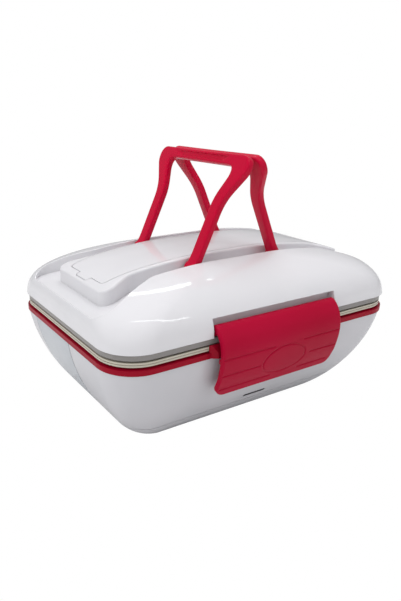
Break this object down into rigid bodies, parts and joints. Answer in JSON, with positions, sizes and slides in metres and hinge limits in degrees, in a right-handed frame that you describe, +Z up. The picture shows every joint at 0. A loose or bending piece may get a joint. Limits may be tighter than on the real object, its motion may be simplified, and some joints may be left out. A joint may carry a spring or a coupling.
{
  "type": "electric lunch box",
  "caption": "Portable electric food warmer: lift-off domed lid with clip latches, fold-down carrying handles and a spoon compartment, over a steel container in a heated base.",
  "frame": {"origin": "on the table, under the middle of the body, at the bottom of the feet", "axes": "+Z up, X along the long side, -Y the clip side shown in front"},
  "size_m": [0.235, 0.1784, 0.1829],
  "materials": {
    "base_plastic": "glossy white PP",
    "bottom_plastic": "white PP",
    "foot_rubber": "grey rubber",
    "screw_steel": "zinc plated",
    "panel_plastic": "smooth bluish plate",
    "tub_plastic": "red heat-resistant plastic",
    "plate_aluminium": "bare",
    "heater_casing": "bare, insulated inside",
    "clamp_steel": "bent strip",
    "clamp_screw_steel": "zinc plated",
    "thermostat_body": "phenolic",
    "fuse_body": "ceramic tube",
    "inlet_plastic": "black",
    "pin_brass": "bare",
    "lens_plastic": "smoked window",
    "board_laminate": "green",
    "wire_sleeve": "silicone sleeve",
    "container_steel": "drawn stainless steel",
    "lid_plastic": "glossy white PP",
    "liner_plastic": "grey PP",
    "seal_rubber": "silicone",
    "lid_screw_steel": "stainless",
    "spoon_steel": "polished",
    "cover_plastic": "glossy white PP",
    "cover_pin_steel": "bare",
    "handle_plastic": "red, satin",
    "handle_plastic_right": "red, satin",
    "handle_pin_steel": "bare",
    "clip_plastic": "red, satin",
    "clip_plastic_rear": "red, satin",
    "clip_pin_steel": "bare"
  },
  "bodies": {
    "base": {"base_shell": "base_plastic", "bottom_cover": "bottom_plastic", "feet": "foot_rubber", "bottom_screws": "screw_steel", "end_panel": "panel_plastic", "heater_tub": "tub_plastic", "heating_plate": "plate_aluminium", "ptc_heaters": "heater_casing", "heater_clamp": "clamp_steel", "clamp_screws": "clamp_screw_steel", "thermostat": "thermostat_body", "thermal_fuse": "fuse_body", "power_inlet": "inlet_plastic", "inlet_pins": "pin_brass", "indicator_lens": "lens_plastic", "indicator_board": "board_laminate", "mains_wires": "wire_sleeve"},
    "container": {"food_container": "container_steel"},
    "lid": {"lid_shell": "lid_plastic", "lid_liner": "liner_plastic", "lid_seal": "seal_rubber", "lid_screws": "lid_screw_steel", "spoon": "spoon_steel", "cover_pins": "cover_pin_steel", "handle_pins": "handle_pin_steel", "clip_pins": "clip_pin_steel"},
    "handle_left": {"handle_left": "handle_plastic"},
    "handle_right": {"handle_right": "handle_plastic_right"},
    "clip_front": {"clip_front": "clip_plastic"},
    "clip_rear": {"clip_rear": "clip_plastic_rear"},
    "spoon_cover": {"spoon_cover": "cover_plastic"}
  },
  "joints": [
    {"name": "lid_lift", "type": "slide", "parent": "base", "child": "lid", "axis": [0, 0, 1], "range_m": [0, 0.12]},
    {"name": "container_lift", "type": "slide", "parent": "base", "child": "container", "axis": [0, 0, 1], "range_m": [0, 0.06]},
    {"name": "handle_left_fold", "type": "hinge", "parent": "lid", "child": "handle_left", "pos_m": [-0.03496, 0, 0.1129], "axis": [0, -1, 0], "range_deg": [0, 124.5]},
    {"name": "handle_right_fold", "type": "hinge", "parent": "lid", "child": "handle_right", "pos_m": [0.03496, 0, 0.1129], "axis": [0, 1, 0], "range_deg": [0, 124.5]},
    {"name": "clip_front_swing", "type": "hinge", "parent": "lid", "child": "clip_front", "pos_m": [0, -0.078, 0.087], "axis": [-1, 0, 0], "range_deg": [0, 95]},
    {"name": "clip_rear_swing", "type": "hinge", "parent": "lid", "child": "clip_rear", "pos_m": [0, 0.078, 0.087], "axis": [1, 0, 0], "range_deg": [0, 95]},
    {"name": "spoon_cover_swing", "type": "hinge", "parent": "lid", "child": "spoon_cover", "pos_m": [0.0948, 0, 0.10836], "axis": [0, 1, 0], "range_deg": [0, 26]}
  ],
  "couplings": [
    {"joint": "container_lift", "follows": "lid_lift", "ratio": 0.5},
    {"joint": "clip_front_swing", "follows": "lid_lift", "rad_per_m": 13.8},
    {"joint": "clip_rear_swing", "follows": "lid_lift", "rad_per_m": 13.8}
  ]
}
